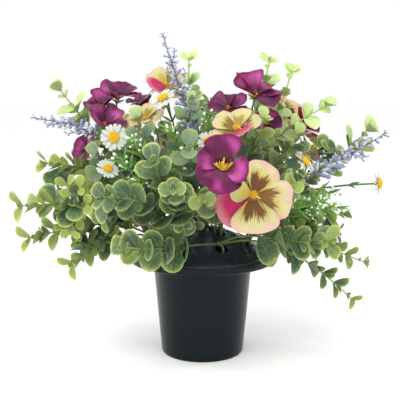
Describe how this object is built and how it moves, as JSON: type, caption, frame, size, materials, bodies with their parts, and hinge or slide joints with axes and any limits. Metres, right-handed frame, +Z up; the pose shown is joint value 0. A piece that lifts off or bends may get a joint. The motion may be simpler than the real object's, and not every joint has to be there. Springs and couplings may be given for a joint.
{
  "type": "mixed flower planter",
  "caption": "Round black pot with a broad rim and a pierced domed lid, filled with silk pansies, daisies, lavender, bud sprays and eucalyptus stems.",
  "frame": {"origin": "middle of the pot's flat base, on the surface that it stands on", "axes": "+Z up along the pot's axis, -Y towards the side that the flowers face, +X to the right of someone who looks at that side"},
  "size_m": [0.4319, 0.3485, 0.3827],
  "materials": {
    "pot_plastic": "satin, near-black moulded plastic",
    "lid_plastic": "satin, near-black moulded plastic",
    "foam": "dull green foam with fine pores",
    "leaf_green": "grey-green leaf with a pale bloom and a yellow-green edge",
    "leaf_light": "light yellow-green young leaf",
    "purple_petal": "satin magenta petal, darker in its folds",
    "yellow_petal": "pale yellow petal with a brown blotch and a pink edge",
    "pansy_heart": "fuzzy yellow-orange",
    "daisy_petal": "matt white petal",
    "daisy_eye": "grainy yellow-orange",
    "bloom_stem": "green moulded stem",
    "lavender": "matt blue-violet florets on a grey-green stem",
    "bud_green": "bright green leaves with white buds"
  },
  "bodies": {
    "root": {"bud_spray_left": "bud_green", "bud_spray_middle": "bud_green", "bud_spray_right": "bud_green", "daisy_1_eye": "daisy_eye", "daisy_1_petals": "daisy_petal", "daisy_2_eye": "daisy_eye", "daisy_2_petals": "daisy_petal", "daisy_3_eye": "daisy_eye", "daisy_3_petals": "daisy_petal", "daisy_4_eye": "daisy_eye", "daisy_4_petals": "daisy_petal", "daisy_5_eye": "daisy_eye", "daisy_5_petals": "daisy_petal", "daisy_6_eye": "daisy_eye", "daisy_6_petals": "daisy_petal", "daisy_stems_left": "bloom_stem", "daisy_stems_right": "bloom_stem", "eucalyptus_back": "leaf_green", "eucalyptus_centre_left": "leaf_green", "eucalyptus_centre_right": "leaf_green", "eucalyptus_front": "leaf_green", "eucalyptus_front_left": "leaf_green", "eucalyptus_left": "leaf_green", "eucalyptus_left_back": "leaf_green", "eucalyptus_right": "leaf_green", "eucalyptus_right_back": "leaf_green", "foam_block": "foam", "lavender_left": "lavender", "lavender_middle": "lavender", "lavender_right": "lavender", "lavender_top": "lavender", "lid": "lid_plastic", "light_sprigs": "leaf_light", "pansy_stems_back": "bloom_stem", "pansy_stems_centre": "bloom_stem", "pansy_stems_left": "bloom_stem", "pansy_stems_right": "bloom_stem", "pot": "pot_plastic", "purple_heart_2": "pansy_heart", "purple_pansy_1": "purple_petal", "purple_pansy_10": "purple_petal", "purple_pansy_11": "purple_petal", "purple_pansy_2": "purple_petal", "purple_pansy_3": "purple_petal", "purple_pansy_4": "purple_petal", "purple_pansy_5": "purple_petal", "purple_pansy_6": "purple_petal", "purple_pansy_7": "purple_petal", "purple_pansy_8": "purple_petal", "purple_pansy_9": "purple_petal", "yellow_heart_1": "pansy_heart", "yellow_heart_2": "pansy_heart", "yellow_pansy_1": "yellow_petal", "yellow_pansy_2": "yellow_petal", "yellow_pansy_3": "yellow_petal", "yellow_pansy_4": "yellow_petal", "yellow_pansy_5": "yellow_petal", "yellow_pansy_6": "yellow_petal", "yellow_pansy_7": "yellow_petal", "yellow_pansy_8": "yellow_petal"}
  },
  "joints": []
}
